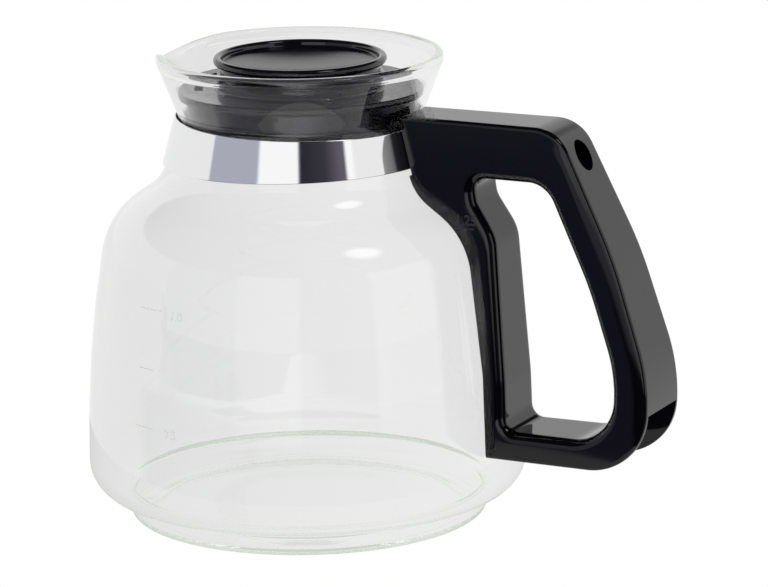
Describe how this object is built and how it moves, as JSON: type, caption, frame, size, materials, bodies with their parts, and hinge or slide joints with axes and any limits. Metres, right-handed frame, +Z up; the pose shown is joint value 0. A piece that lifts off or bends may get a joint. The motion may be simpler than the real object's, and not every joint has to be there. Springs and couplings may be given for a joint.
{
  "type": "glass coffee jug",
  "caption": "Round-bellied glass coffee jug with a flared mouth and spout, polished steel neck band, black D-shaped handle and a drop-in lid with a dished knob.",
  "frame": {"origin": "on the jug's axis, in the plane of the foot ring it stands on", "axes": "+Z up; +X along the handle, so the spout points along -X; the XZ plane is the plane of symmetry"},
  "size_m": [0.1935, 0.14, 0.1486],
  "materials": {
    "clear_glass": "clear blown borosilicate, fire-polished rim",
    "polished_band": "mirror-polished stainless strip",
    "liner_rubber": "thin black silicone strip",
    "handle_black": "high-gloss moulded black",
    "lid_black": "high-gloss moulded black",
    "zinc_steel": "zinc-plated fastener steel"
  },
  "bodies": {
    "jug": {"glass_jug": "clear_glass", "band_liner": "liner_rubber", "neck_band": "polished_band", "band_yoke": "zinc_steel", "yoke_nut": "zinc_steel", "clamp_screw": "zinc_steel", "flat_washer": "zinc_steel", "spring_washer": "zinc_steel", "handle": "handle_black"},
    "lid": {"lid_body": "lid_black", "lid_knob": "lid_black"}
  },
  "joints": [
    {"name": "lid_lift", "type": "slide", "parent": "jug", "child": "lid", "axis": [0, 0, 1], "range_m": [0, 0.06]}
  ]
}
